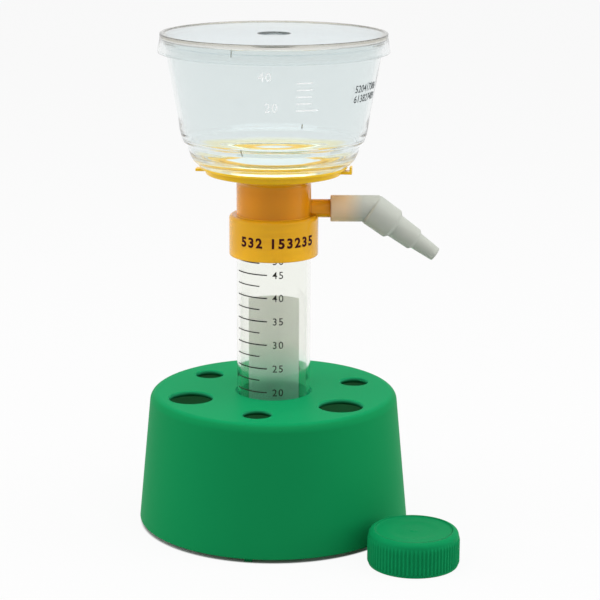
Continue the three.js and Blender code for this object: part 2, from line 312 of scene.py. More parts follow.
def bar(corners, width, degrees):
    """A closed bar with a four-cornered section (distance from the axis, height), carried across by its width
    and turned to a direction in plan."""
    section = np.array(corners, float)
    points = np.concatenate([np.stack([np.full(4, side * width / 2), -section[:, 0], section[:, 1]], 1)
                             for side in (-1, 1)])
    turn = np.array(Matrix.Rotation(np.radians(degrees), 3, "Z"))
    faces = [[0, 1, 2, 3], [7, 6, 5, 4], [0, 4, 5, 1], [1, 5, 6, 2], [2, 6, 7, 3], [3, 7, 4, 0]]
    return points @ turn.T, np.array(faces)


def stand_foot(degrees):
    """A small block under the rim, which reaches up into it."""
    inner, outer, top, width = stand_foot_radius - 0.6, stand_foot_radius + 0.6, stand_rim + 1, 3.0
    return bar([(inner, 0), (outer, 0), (outer, top), (inner, top)], width, degrees)


def make_stand():
    """The shell with its feet joined on and its holes cut. A hole widens in a quarter round to the top."""
    edge = 0.5
    stand = make_piece("stand_shell", turned(stand_outline(), 192))
    feet = joined(*[stand_foot(first_hole + 120 * number) for number in range(3)])
    reshape_with(stand, make_piece("feet", feet), "UNION")
    for number in range(6):
        radius = hole_radii[number % 2]
        bore = turned(np.concatenate([
            [[0, stand_top - 6], [radius, stand_top - 6]],
            arc(radius + edge, stand_top - edge, edge, 180, 90, 6),
            [[radius + edge, stand_top + 1], [0, stand_top + 1]],
        ]), 72)
        x, y = in_plan(first_hole + 60 * number, hole_circle)
        reshape_with(stand, make_piece("bore", moved(bore, x, y)), "DIFFERENCE")
    return stand


def green_polypropylene(name, color):
    """Polypropylene, injection moulded: an even green with a satin surface and a very fine mould texture. On the
    stand's flat top a lighter green is painted on as a painted highlight from the light that falls on it. Round
    the holes and in them a brighter green is painted on as the highlight on their rims and the light in them,
    and inside the skirt a dim green glow is painted on as the light that comes through the wall."""
    holes_reach = hole_circle + hole_radii[1] + stand_wall
    hollow_low, hollow_high = 2.5, stand_top - 3
    material = new_material(name)
    place = add_node(material, "TexCoord").outputs["Object"]
    grain = add_node(material, "TexNoise", {"Vector": place, "Scale": 1 / (0.9 * MM), "Detail": 3.0})
    bump = add_node(material, "Bump", {"Height": grain.outputs[0], "Strength": 0.06, "Distance": 0.1 * MM})
    flow = add_node(material, "TexNoise", {"Vector": place, "Scale": 1 / (40 * MM), "Detail": 2.0})
    tone = add_node(material, "MixRGB", {0: flow.outputs[0], 1: linear(color), 2: linear("#0e804a")})
    away = distance_from_axis(material, place)
    height = add_node(material, "SeparateXYZ", {0: place}).outputs["Z"]
    # Painted highlight: the flat top of the stand is mixed towards a lighter green for the light that falls on
    # it.
    top = add_node(material, "MapRange", {
        "Value": height, "From Min": (stand_top - 1) * MM, "From Max": (stand_top + 0.1) * MM})
    tone = add_node(material, "MixRGB", {0: top.outputs[0], 1: tone.outputs[0], 2: linear("#0c935a")})
    # Painted light: below the top, round the holes and in them, the green is made brighter, as a highlight on
    # the hole rims and the light that gets into them.
    holed = add_node(material, "Math", {0: away, 1: holes_reach * MM}, operation="LESS_THAN")
    under_top = add_node(material, "MapRange", {
        "Value": height, "From Min": stand_top * MM, "From Max": (stand_top - 0.6) * MM})
    painted_hole_light = add_node(material, "Math", {0: holed.outputs[0], 1: under_top.outputs[0]}, operation="MULTIPLY")
    tone = add_node(material, "MixRGB", {0: painted_hole_light.outputs[0], 1: tone.outputs[0], 2: linear("#2fae78")})
    # Painted glow: inside the skirt the plastic emits a dim green, standing in for the light that comes through
    # the wall.
    mid_wall = add_node(material, "MapRange", {
        "Value": height, "From Max": stand_top * MM, "To Min": (stand_radius - stand_wall / 2) * MM,
        "To Max": (stand_top_radius - stand_wall / 2) * MM})
    within = add_node(material, "Math", {0: away, 1: mid_wall.outputs[0]}, operation="LESS_THAN")
    hollow = add_node(material, "Math", {
        0: height, 1: (hollow_high + hollow_low) / 2 * MM, 2: (hollow_high - hollow_low) / 2 * MM},
        operation="COMPARE")
    painted_inner_glow = add_node(material, "Math", {0: within.outputs[0], 1: hollow.outputs[0]}, operation="MULTIPLY")
    shader = add_node(material, "BsdfPrincipled", {
        "Base Color": tone.outputs[0], "Roughness": 0.5, "IOR": 1.49, "Specular IOR Level": 0.025,
        "Emission Color": linear("#183520"), "Emission Strength": painted_inner_glow.outputs[0],
        "Normal": bump.outputs[0]})
    add_node(material, "OutputMaterial", {"Surface": shader.outputs[0]})
    return material


stand_green = green_polypropylene("moulded_polypropylene_stand", "#10844b")
finish_piece(make_stand(), stand_green, "stand_and_tube", "stand_green", "tube_stand")


# ---- Centrifuge tube ----
# A 50 mL tube, injection moulded in clear polypropylene: thin wall, conical bottom and an outside thread
# under its rim. It only stands in the stand's socket. The volume scale and the writing patch are printed on.

tube_radius = 14.3
tube_bore = 13.1
tube_tip = 8.2
tube_cone_top = 23.8
tube_rim = 120.4
tube_thread_foot = 109.5
tube_thread_top = 119.2
thread_pitch = 3.0
thread_height = 0.85
# Painted light: the green that the stand throws into the tube, painted on below the stand's top and fading out
# by 68 mm.
tube_painted_green_light = ("#d2f5ea", stand_top, 68.0)


def helical_ridge(angle, height, low, high):
    """Share of full ridge height on a right-hand thread: a flat-topped wave along the height, which climbs one
    pitch a turn and dies away over one pitch at both ends."""
    wave = np.abs((height / thread_pitch - angle / (2 * np.pi)) % 1 - 0.5)
    ends = np.clip((height - low) / thread_pitch, 0, 1) * np.clip((high - height) / thread_pitch, 0, 1)
    return np.clip((0.24 - wave) / 0.12, 0, 1) * np.minimum(1, 4 * ends)


def upright(radius, low, high, steps):
    """A straight stretch of outline at that radius, with enough points to carry a relief."""
    return np.stack([np.full(steps + 1, radius), np.linspace(low, high, steps + 1)], 1)


def tube_thread(angle, radius, height):
    """The thread's ridge on the outside of the tube, below its rim."""
    outside = radius > tube_radius - 0.01
    return thread_height * helical_ridge(angle, height, tube_thread_foot, tube_thread_top) * outside


def make_tube():
    floor = tube_tip + 1.4
    outline = np.concatenate([
        eased([(0, tube_tip, 0), (2.4, tube_tip, 1.0), (tube_radius, tube_cone_top, 1.5),
               (tube_radius, tube_thread_foot - 0.1, 0)]),
        upright(tube_radius, tube_thread_foot, tube_thread_top + 0.2, 56),
        eased([(tube_radius, tube_thread_top + 0.3, 0), (tube_radius, tube_rim, 0.35),
               (tube_bore, tube_rim, 0.35), (tube_bore, tube_cone_top, 1.5), (1.9, floor, 1.0), (0, floor, 0)]),
    ])
    return make_piece("tube_wall", turned(outline, 144, tube_thread))


def clear_plastic(name, color, roughness, ior, clear=1.0, glow=None):
    """Clear thermoplastic, moulded in a polished tool: it bends light at every wall and is faintly tinted in
    depth. A glow is (colour, full below, none above): a painted tint, the coloured light that the part it stands
    in throws into the wall, painted on as base colour."""
    material = new_material(name)
    place = add_node(material, "TexCoord").outputs["Object"]
    flow = add_node(material, "TexNoise", {"Vector": place, "Scale": 1 / (14 * MM), "Detail": 2.0})
    bump = add_node(material, "Bump", {"Height": flow.outputs[0], "Strength": 0.05, "Distance": 0.6 * MM})
    # Painted light: the glow colour is mixed into the base colour below a height, for the colour that a
    # neighbouring part throws into the clear wall.
    tone = linear(color)
    if glow:
        painted_light_color, full, none = glow
        height = add_node(material, "SeparateXYZ", {0: place}).outputs["Z"]
        near = add_node(material, "MapRange", {"Value": height, "From Min": none * MM, "From Max": full * MM})
        tinted = add_node(material, "MixRGB", {0: near.outputs[0], 1: tone, 2: linear(painted_light_color)})
        tone = tinted.outputs[0]
    shader = add_node(material, "BsdfPrincipled", {
        "Base Color": tone, "Roughness": roughness, "IOR": ior, "Transmission Weight": clear,
        "Normal": bump.outputs[0]})
    add_node(material, "OutputMaterial", {"Surface": shader.outputs[0]})
    return material


tube = make_tube()
tube.visible_shadow = False
tube_clear = clear_plastic("moulded_clear_polypropylene", "#f9faf6", 0.05, 1.49, glow=tube_painted_green_light)
finish_piece(tube, tube_clear, "stand_and_tube", "tube_clear", "centrifuge_tube")


# ---- Print on the tube ----
# Dark grey screen-printed marks every 2.5 mL, with a number at every second one, and a white patch for
# writing on the far side, seen through the tube. The ink stands a few hundredths of a millimetre proud.

ink_base = 0.02
ink_top = 0.05
lowest_volume = 20
lowest_mark = 55.25
top_number = 107.2
patch_half = 48.5
patch_foot = 30
patch_top = 87.2


def curved_patch(start, end, low, high, inner, outer, steps=24):
    """A closed strip on a cylinder: the four corners (radius, height) of its section are carried from the start
    direction to the end direction, and the section closes it at both ends."""
    angle = np.radians(np.linspace(start, end, steps + 1))[:, None]
    radius = np.array([inner, outer, outer, inner])[None, :]
    height = np.array([low, low, high, high])[None, :]
    points = np.stack([radius * np.sin(angle), -radius * np.cos(angle), height + 0 * angle], -1).reshape(-1, 3)
    last = 4 * steps
    ends = np.array([[0, 1, 2, 3], [last + 3, last + 2, last + 1, last]])
    return points, np.concatenate([grid_faces(steps + 1, 4, False, True)[:, ::-1], ends])


def volume_height(millilitres):
    """Height of a volume mark. The tube widens slightly upwards, so the marks draw together."""
    above = millilitres - lowest_volume
    return lowest_mark + 1.92 * above - 0.0024 * above ** 2


def numerals(text, digit_height, degrees, height, wall, base, top, bold=0.0, spread=1.12):
    """Raised characters on a turned wall: x on the text's own plane becomes the arc from the start direction,
    y the height, and z the distance from the wall, whose radius at a height is wall(height)."""
    curve = bpy.data.curves.new(text, "FONT")
    curve.body = text
    curve.align_y = "CENTER"
    curve.size = digit_height / 0.7
    curve.extrude = 0.5
    curve.offset = bold
    curve.space_character = spread
    curve.resolution_u = 4
    written = bpy.data.objects.new(text, curve)
    mesh = bpy.data.meshes.new_from_object(written)
    flat = np.empty(len(mesh.vertices) * 3)
    mesh.vertices.foreach_get("co", flat)
    across, up, out = flat.reshape(-1, 3).T
    up = height + up - (up.min() + up.max()) / 2
    radius = wall(up) + np.where(out > 0, top, base)
    angle = np.radians(degrees) + across / wall(height)
    bent = np.stack([radius * np.sin(angle), -radius * np.cos(angle), up], 1)
    mesh.vertices.foreach_set("co", ((bent + [axis_x, axis_y, 0]) * MM).ravel())
    bpy.data.objects.remove(written)
    return mesh


def printed(name, meshes):
    """One object from several meshes of characters."""
    parts = []
    for mesh in meshes:
        part = bpy.data.objects.new(name, mesh)
        bpy.context.scene.collection.objects.link(part)
        parts.append(part)
    with bpy.context.temp_override(active_object=parts[0], selected_editable_objects=parts):
        bpy.ops.object.join()
    return parts[0]


def make_scale_marks():
    """Every second mark, at a whole 5 mL, is longer and a little thicker."""
    start = -69
    strips = []
    for step, volume in enumerate(np.arange(lowest_volume, 48, 2.5)):
        end, thickness = (-9.5, 0.46) if step % 2 == 0 else (-21.5, 0.42)
        middle = volume_height(volume)
        strips.append(curved_patch(start, end, middle - thickness / 2, middle + thickness / 2,
                                   tube_radius + ink_base, tube_radius + ink_top))
    return make_piece("tube_marks", joined(*strips))


def make_scale_numbers():
    """The last number stands lower than its mark would, to stay clear of the thread."""
    heights = {volume: volume_height(volume) for volume in range(lowest_volume, 50, 5)}
    heights[50] = top_number
    return printed("tube_numbers", [
        numerals(str(volume), 2.8, -1.5, height, lambda z: tube_radius + 0 * z, ink_base, ink_top, 0.012, 1.2)
        for volume, height in heights.items()])


def ink(name, color, roughness):
    """Screen-printing ink: opaque and matt, slightly uneven where it lies thin."""
    material = new_material(name)
    place = add_node(material, "TexCoord").outputs["Object"]
    cover = add_node(material, "TexNoise", {"Vector": place, "Scale": 1 / (0.5 * MM), "Detail": 3.0})
    thin = add_node(material, "HueSaturation", {"Color": linear(color), "Value": 1.15})
    tone = add_node(material, "MixRGB", {0: cover.outputs[0], 1: linear(color), 2: thin.outputs[0]})
    shader = add_node(material, "BsdfPrincipled", {
        "Base Color": tone.outputs[0], "Roughness": roughness, "Specular IOR Level": 0.1})
    add_node(material, "OutputMaterial", {"Surface": shader.outputs[0]})
    return material


grey_ink = ink("screen_print_grey_ink", "#2c2c27", 0.6)
for marks in (make_scale_marks(), make_scale_numbers()):
    finish_piece(marks, grey_ink, "stand_and_tube", "tube_clear")


def thin_white_ink():
    """A thin coat of white ink: matt, and some light comes through it from behind."""
    material = new_material("screen_print_thin_white_ink")
    place = add_node(material, "TexCoord").outputs["Object"]
    cover = add_node(material, "TexNoise", {"Vector": place, "Scale": 1 / (3 * MM), "Detail": 4.0})
    tone = add_node(material, "MixRGB", {0: cover.outputs[0], 1: linear("#fcfef6"), 2: linear("#fefffa")})
    shader = add_node(material, "BsdfPrincipled", {
        "Base Color": tone.outputs[0], "Roughness": 1.0, "Transmission Weight": 0.5})
    add_node(material, "OutputMaterial", {"Surface": shader.outputs[0]})
    return material


writing_patch = make_piece("writing_patch", curved_patch(
    180 - patch_half, 180 + patch_half, patch_foot, patch_top,
    tube_radius + ink_base, tube_radius + ink_top, 40))
finish_piece(writing_patch, thin_white_ink(), "stand_and_tube", "tube_clear")


# ---- Rim seal ----
# A flat die-cut ring of closed-cell polyethylene foam, pinched between the tube's rim and the collar's roof.

foam = new_material("die_cut_polyethylene_foam")
cells = add_node(foam, "TexVoronoi", {
    "Vector": add_node(foam, "TexCoord").outputs["Object"], "Scale": 1 / (0.3 * MM)})
foam_bump = add_node(foam, "Bump", {"Height": cells.outputs["Distance"], "Strength": 0.3, "Distance": 0.1 * MM})
foam_shader = add_node(foam, "BsdfPrincipled", {
    "Base Color": linear("#e9e6dc"), "Roughness": 0.8, "Normal": foam_bump.outputs[0]})
add_node(foam, "OutputMaterial", {"Surface": foam_shader.outputs[0]})
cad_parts["rim_seal"].data.materials.clear()
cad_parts["rim_seal"].data.materials.append(foam)


# ---- Filter base ----
# One moulding in translucent amber styrene plastic: collar, neck, side port, drip spout, and the ribbed
# dish that carries the membrane, with two small grip lugs. The funnel is welded to its rim. Plain digits
# are printed round the collar.

collar_radius = 17.2
collar_bore = 15.9
collar_foot = 107.1
collar_top = 122.9
collar_roof = 121.8
neck_radius = 14.35
neck_bore = 12.95
port_height = 125.1
port_bore = 2.3
stub_radius = 3.55
stub_end = 34.2
dish_radius = 26.2
dish_edge = 139.1
dish_slope = 0.26
dish_floor = 1.5
flange_radius = 28.3
flange_top = 142.2
support_radius = 26.9
support_top = 143.2
ledge_inside = 20.3
rib_count = 16
lug_direction = 84
spout_radius = 5.4
spout_drain = 3.9
spout_tip = 112.6


def underside(radius):
    """Height of the dish's underside, which rises outwards."""
    return dish_edge - (dish_radius - radius) * dish_slope


def base_outline():
    """Up the collar and neck, out under the dish to the flange, in over the ledge, down the dish to the spout
    and round it, and down inside the neck and the collar."""
    shoulder = 1.5
    bore_top = collar_roof - 0.8
    bore_foot = collar_foot + 0.9
    return np.concatenate([
        eased([(collar_bore, collar_foot, 0.2), (collar_radius, collar_foot, 0.5),
               (collar_radius, bore_top, 0)]),
        arc(collar_radius - shoulder, collar_top - shoulder, shoulder, 0, 90, 8),
        eased([
            (neck_radius, collar_top, 0.3), (neck_radius, underside(neck_radius), 1.6),
            (dish_radius, dish_edge, 0.35), (dish_radius, flange_top - 1, 0.3),
            (flange_radius, flange_top - 0.9, 0.2), (flange_radius, flange_top, 0.25),
            (support_radius, flange_top, 0), (support_radius, support_top, 0.2),
            (ledge_inside, support_top, 0.2), (ledge_inside, underside(ledge_inside) + dish_floor, 0.4),
            (spout_radius, underside(spout_radius) + dish_floor, 0.4),
            (spout_drain, underside(spout_radius) + dish_floor - 0.9, 0.3), (spout_drain - 0.4, spout_tip, 0.15),
            (spout_radius - 0.6, spout_tip, 0.15), (spout_radius, underside(spout_radius), 0.5),
            (neck_bore, underside(neck_bore), 0.8), (neck_bore, collar_roof, 0.2),
            (collar_bore, collar_roof, 0)]),
        upright(collar_bore, bore_top, bore_foot, 72),
    ])


def tilted(surface, degrees):
    """A surface turned about the y axis, from upright towards the port."""
    turn = np.array(Matrix.Rotation(np.radians(degrees), 3, "Y"))
    return surface[0] @ turn.T, surface[1]


def support_rib(number):
    """A rib from the dish's floor up to the membrane. Every second one starts further out."""
    inner = spout_radius + 0.2 if number % 2 == 0 else support_radius / 2
    outer = ledge_inside + 1
    top, width = support_top - 0.2, 0.9
    return bar([(inner, underside(inner) + dish_floor / 2), (outer, underside(outer) + dish_floor / 2),
                (outer, top), (inner, top)], width, 90 + number * 360 / rib_count)


def grip_lug(degrees, lip):
    """Flat tongue under the flange, with a lip at its end that turns up by that much."""
    root, reach, width = dish_radius - 0.8, 30.1, 4.0
    top = dish_edge + 1.1
    arm = bar([(root, dish_edge), (reach, dish_edge), (reach, top), (root, top)], width, degrees)
    inset = 0.02
    turned_up = bar([(reach - 0.9, dish_edge + inset), (reach - inset, dish_edge + inset),
                     (reach - inset, top + lip), (reach - 0.9, top + lip)], width - 2 * inset, degrees)
    lug = make_piece("lug", arm)
    if lip:
        reshape_with(lug, make_piece("lip", turned_up), "UNION")
    rounding = lug.modifiers.new("rounding", "BEVEL")
    rounding.width, rounding.segments = 0.22 * MM, 3
    return lug


def make_base():
    """The turned shell with its ribs, port stub and lugs joined on. The port's bore opens into the neck."""
    stub_root, bore_start, bore_end = neck_radius - 0.7, 9.2, stub_end + 1
    base = make_piece("base_shell", turned(base_outline(), 160))
    ribs = joined(*[support_rib(number) for number in range(rib_count)])
    reshape_with(base, make_piece("ribs", ribs), "UNION")
    stub = turned(eased([(0, stub_root, 0), (stub_radius, stub_root, 0), (stub_radius, stub_end, 0.4),
                         (0, stub_end, 0)]), 48)
    reshape_with(base, make_piece("stub", moved(tilted(stub, 90), 0, 0, port_height)), "UNION")
    bore = turned(np.array([[0, bore_start], [port_bore, bore_start], [port_bore, bore_end], [0, bore_end]]), 40)
    reshape_with(base, make_piece("bore", moved(tilted(bore, 90), 0, 0, port_height)), "DIFFERENCE")
    reshape_with(base, grip_lug(lug_direction, 1.7), "UNION")
    reshape_with(base, grip_lug(lug_direction - 180, 0), "UNION")
    return base


def amber_plastic():
    """Styrene plastic with an amber dye, moulded: clear enough to show the spout and the tube's rim inside it.
    The neck is the clearest and the deepest orange, the flange above it is yellower, and the flange and the
    port stub let the least light through."""
    neck_low, neck_high = 123, 137
    yellow_from, yellow_to = 133, 139
    stub_from = 15
    material = new_material("moulded_translucent_amber_styrene")
    place = add_node(material, "TexCoord").outputs["Object"]
    flow = add_node(material, "TexNoise", {"Vector": place, "Scale": 1 / (9 * MM), "Detail": 3.0})
    tone = add_node(material, "MixRGB", {0: flow.outputs[0], 1: linear("#ffbe1c"), 2: linear("#ffc522")})
    height = add_node(material, "SeparateXYZ", {0: place}).outputs["Z"]
    flange = add_node(material, "MapRange", {
        "Value": height, "From Min": yellow_from * MM, "From Max": yellow_to * MM})
    neck = add_node(material, "Math", {
        0: height, 1: (neck_high + neck_low) / 2 * MM, 2: (neck_high - neck_low) / 2 * MM}, operation="COMPARE")
    clear = add_node(material, "MapRange", {"Value": neck.outputs[0], "To Min": 0.4, "To Max": 0.5})
    away = distance_from_axis(material, place)
    outside = add_node(material, "Math", {0: away, 1: stub_from * MM}, operation="GREATER_THAN")
    stub = add_node(material, "Math", {0: outside.outputs[0], 1: neck.outputs[0]}, operation="MULTIPLY")
    dense = add_node(material, "Math", {0: stub.outputs[0], 1: flange.outputs[0]}, operation="MAXIMUM")
    clear = add_node(material, "Math", {0: dense.outputs[0], 1: -0.15, 2: clear.outputs[0]},
                     operation="MULTIPLY_ADD")
    tone = add_node(material, "MixRGB", {0: flange.outputs[0], 1: tone.outputs[0], 2: linear("#ffd022")})
    tone = add_node(material, "MixRGB", {0: neck.outputs[0], 1: tone.outputs[0], 2: linear("#ffb01a")})
    bump = add_node(material, "Bump", {"Height": flow.outputs[0], "Strength": 0.05, "Distance": 0.4 * MM})
    shader = add_node(material, "BsdfPrincipled", {
        "Base Color": tone.outputs[0], "Roughness": 0.14, "IOR": 1.57, "Transmission Weight": clear.outputs[0],
        "Specular IOR Level": 0.2, "Specular Tint": linear("#ffe4b4"), "Normal": bump.outputs[0]})
    add_node(material, "OutputMaterial", {"Surface": shader.outputs[0]})
    return material


finish_piece(make_base(), amber_plastic(), "filter_head", "base_amber", "filter_base")

collar_numbers = printed("collar_numbers", [
    numerals("532 153235", 3.6, -44.5, 114.6, lambda z: collar_radius + 0 * z, ink_base, ink_top, 0.2, 1.28)])
finish_piece(collar_numbers, ink("screen_print_maroon_ink", "#36090e", 0.5), "filter_head", "base_amber")


# ---- Membrane ----
# A disc of microporous filter film, matt and white. It is sealed by its edge to the base's ledge, and its
# sealed border takes the amber.

membrane_foot = 143.5
membrane_top = 143.8
membrane_radius = 21.5
seal_inside = 17.8
seal_fade = 0.8
film = new_material("cast_microporous_film")
film_place = add_node(film, "TexCoord").outputs["Object"]
pores = add_node(film, "TexNoise", {"Vector": film_place, "Scale": 1 / (0.25 * MM), "Detail": 2.0})
film_bump = add_node(film, "Bump", {"Height": pores.outputs[0], "Strength": 0.15, "Distance": 0.05 * MM})
film_tone = add_node(film, "MixRGB", {0: pores.outputs[0], 1: linear("#ced3d1"), 2: linear("#d5d9d7")})
sealed = add_node(film, "MapRange", {"Value": distance_from_axis(film, film_place),
                                     "From Min": seal_inside * MM, "From Max": (seal_inside + seal_fade) * MM})
film_tone = add_node(film, "MixRGB", {0: sealed.outputs[0], 1: film_tone.outputs[0], 2: linear("#e2b23c")})
film_shader = add_node(film, "BsdfPrincipled", {
    "Base Color": film_tone.outputs[0], "Roughness": 0.85, "Normal": film_bump.outputs[0]})
add_node(film, "OutputMaterial", {"Surface": film_shader.outputs[0]})
membrane = make_piece("membrane_disc", turned(eased([
    (0, membrane_foot, 0), (membrane_radius, membrane_foot, 0.05),
    (membrane_radius, membrane_top, 0.05), (0, membrane_top, 0)]), 128))
finish_piece(membrane, film, "filter_head", "membrane_white", "membrane")


# ---- Funnel ----
# A clear bowl injection moulded in polystyrene: rounded foot welded to the base, a step low in its flared
# wall, a beaded rim, a fine scale and two nibs raised on its wall, and two rows of small digits stamped
# towards the hose port.

funnel_foot = flange_top - 0.05
funnel_lip = 144.1
funnel_bore = 27.2
funnel_wall = 1.4
bowl_radius = 36.3
bowl_foot = 160.0
rim_radius = 41.4
funnel_rim = 190.4
bead_foot = 188.4
# Painted light: the yellow that the amber base throws into the funnel's foot, painted on below 145 mm and gone
# by 147 mm.
funnel_painted_amber_light = ("#f6f1c6", 145.0, 147.0)
raised_base = 0.01
raised_top = 0.2
lowest_bar = 168.1
bar_spacing = 2.55


def bowl_wall(height):
    """Radius of the outside of the flared wall."""
    return bowl_radius + (height - bowl_foot) * (rim_radius - bowl_radius) / (bead_foot - bowl_foot)


def funnel_outline():
    """Up the rounded foot, the step and the flare to the beaded rim, and down the same way inside, to the lip
    that reaches over the membrane's border."""
    lip_inside = 25.5
    bead = 0.5
    return eased([
        (funnel_bore, funnel_foot, 0), (28.4, funnel_foot, 0.2), (30.2, 143.6, 0.7), (31.3, 144.9, 0.7),
        (32, 146.4, 0.7), (32.6, 148.2, 0.8), (33, 150.2, 0.3), (34.7, 151.8, 0.4), (35.4, 153.9, 0.8),
        (35.9, 156.3, 1.0), (bowl_radius, bowl_foot, 1.5), (rim_radius, bead_foot, 0.15),
        (rim_radius + bead, bead_foot + 0.4, 0.2), (rim_radius + bead, funnel_rim, 0.35),
        (rim_radius + 0.3 - funnel_wall, funnel_rim, 0.3), (bowl_radius - funnel_wall, bowl_foot, 1.5),
        (34.4, 156.2, 1.0), (33.5, 153.1, 0.6), (31.6, 151, 0.4), (31.2, 148.4, 0.6), (30.6, 147, 0.6),
        (29.6, 145.8, 0.6), (28.2, 145, 0.6), (lip_inside, 144.7, 0.3), (lip_inside, funnel_lip, 0.1),
        (funnel_bore, funnel_lip, 0)])


funnel_clear = clear_plastic("moulded_clear_polystyrene", "#eef3f3", 0.03, 1.57, glow=funnel_painted_amber_light)
funnel = make_piece("funnel_wall", turned(funnel_outline(), 192))
funnel.visible_shadow = False
finish_piece(funnel, funnel_clear, "filter_head", "funnel_clear", "funnel")


def make_raised_scale():
    """Short raised bars up the front of the bowl, the lowest a little longer."""
    start, half_width = 13, 0.22
    bars = []
    for step in range(5):
        height = lowest_bar + step * bar_spacing
        end = 21.5 if step else 25.5
        radius = bowl_wall(height)
        bars.append(curved_patch(start, end, height - half_width, height + half_width,
                                 radius + raised_base, radius + raised_top, 10))
    return make_piece("funnel_scale", joined(*bars))


raised_numbers = printed("funnel_numbers", [
    numerals(digits, 3.3, degrees, height, bowl_wall, raised_base, raised_top)
    for digits, degrees, height in (("40", -7.6, 180.7), ("20", -4.6, 169.2))])
# A matt raised line scatters light and hardly bends it, so its plastic is given almost no bending power.
frosted = clear_plastic("moulded_frosted_polystyrene", "#ffffff", 0.6, 1.03, 0.68)
for raised in (make_raised_scale(), raised_numbers):
    raised.visible_shadow = False
    finish_piece(raised, frosted, "filter_head", "funnel_clear")


def nib(degrees, low, high, low_radius, high_radius):
    """A small upright rib on a sloping wall, between two heights."""
    proud, width = 0.3, 0.4
    return bar([(low_radius, low), (low_radius + proud, low), (high_radius + proud, high), (high_radius, high)],
               width, degrees)


nib_clear = clear_plastic("moulded_rough_polystyrene", "#c8ccc4", 0.3, 1.57)
funnel_nibs = make_piece("funnel_nibs", joined(
    nib(-19.3, 150.4, 153.0, 33.3, 35.2), nib(16.9, 161.4, 163.0, bowl_wall(161.4), bowl_wall(163.0))))
funnel_nibs.visible_shadow = False
finish_piece(funnel_nibs, nib_clear, "filter_head", "funnel_clear")


stamp = printed("funnel_stamp", [
    numerals(digits, 2.7, 51, height, bowl_wall, ink_base, ink_top, 0.03, 1.0)
    for digits, height in (("520417386", 174.2), ("613827409", 170.4))])
finish_piece(stamp, ink("stamped_grey_ink", "#4a4e50", 0.6), "filter_head", "funnel_clear")


# ---- Funnel lid ----
# A loose clear polystyrene lid: flat top inside a raised rim, a skirt that flares over the funnel's rim and
# has one small nib, and a round recess in the middle where the plastic entered the mould.

lid_radius = 43.9
lid_top = 192.5
lid_underside = 190.7
skirt_foot = 185.3
gate_radius = 6.1


def lid_outline():
    """Under the plate, down and up the skirt, over the raised rim, and in to the gate recess."""
    upper = lid_radius - 0.75
    skirt = 1.05
    plate, recess = lid_top - 0.4, lid_top - 1
    return eased([
        (0, lid_underside, 0), (upper - skirt, lid_underside, 0.3), (lid_radius - skirt, skirt_foot, 0.2),
        (lid_radius, skirt_foot, 0.3), (lid_radius, skirt_foot + 1.2, 0.4), (upper, lid_underside, 0.3),
        (upper, lid_top, 0.5), (upper - 1.4, lid_top, 0.3), (upper - 1.8, plate, 0.2),
        (gate_radius + 0.2, plate, 0.15), (gate_radius, recess, 0.2), (0, recess, 0)])


def lid_polystyrene():
    """Clear polystyrene, moulded. The round edge of the gate recess is painted dark, as painted shade, and the
    raised rim is mixed towards a faint brownish grey."""
    material = new_material("moulded_clear_polystyrene_lid")
    place = add_node(material, "TexCoord").outputs["Object"]
    away = distance_from_axis(material, place)
    # Painted shade: a narrow dark ring at the edge of the gate recess.
    gate = add_node(material, "Math", {0: away, 1: (gate_radius + 0.1) * MM, 2: 0.3 * MM}, operation="COMPARE")
    outer = add_node(material, "MapRange", {
        "Value": away, "From Min": (lid_radius - 3.3) * MM, "From Max": (lid_radius - 2.7) * MM})
    height = add_node(material, "SeparateXYZ", {0: place}).outputs["Z"]
    upper = add_node(material, "MapRange", {
        "Value": height, "From Min": (lid_underside + 0.1) * MM, "From Max": (lid_underside + 0.9) * MM})
    rim = add_node(material, "Math", {0: outer.outputs[0], 1: upper.outputs[0]}, operation="MULTIPLY")
    tone = add_node(material, "MixRGB", {0: outer.outputs[0], 1: linear("#d4e1e5"), 2: linear("#f0f3f3")})
    tone = add_node(material, "MixRGB", {0: rim.outputs[0], 1: tone.outputs[0], 2: linear("#bcb9ac")})
    tone = add_node(material, "MixRGB", {0: gate.outputs[0], 1: tone.outputs[0], 2: linear("#2e3638")})
    shader = add_node(material, "BsdfPrincipled", {
        "Base Color": tone.outputs[0], "Roughness": 0.03, "IOR": 1.57, "Transmission Weight": 1.0})
    add_node(material, "OutputMaterial", {"Surface": shader.outputs[0]})
    return material


lid = make_piece("lid_shell", turned(lid_outline(), 192))
lid.visible_shadow = False
finish_piece(lid, lid_polystyrene(), "filter_head", "lid_clear", "funnel_lid")
lid_nib = make_piece("lid_nib", nib(-19.8, 187.9, 190.7, 43.65, 43.15))
lid_nib.visible_shadow = False
finish_piece(lid_nib, nib_clear, "filter_head", "lid_clear")


# ---- Hose adapter ----
# An elbow moulded in natural low-density polyethylene, milky and satin. Its sleeve is pushed over the port
# stub, and its three tapered steps take hoses of three bores.

adapter_start = 21.8
adapter_radius = 5.1
adapter_bore = 1.9
sleeve_bore = 2.4
bend_distance = 37.3
bend_angle = 35.5
barb_step = 10.3


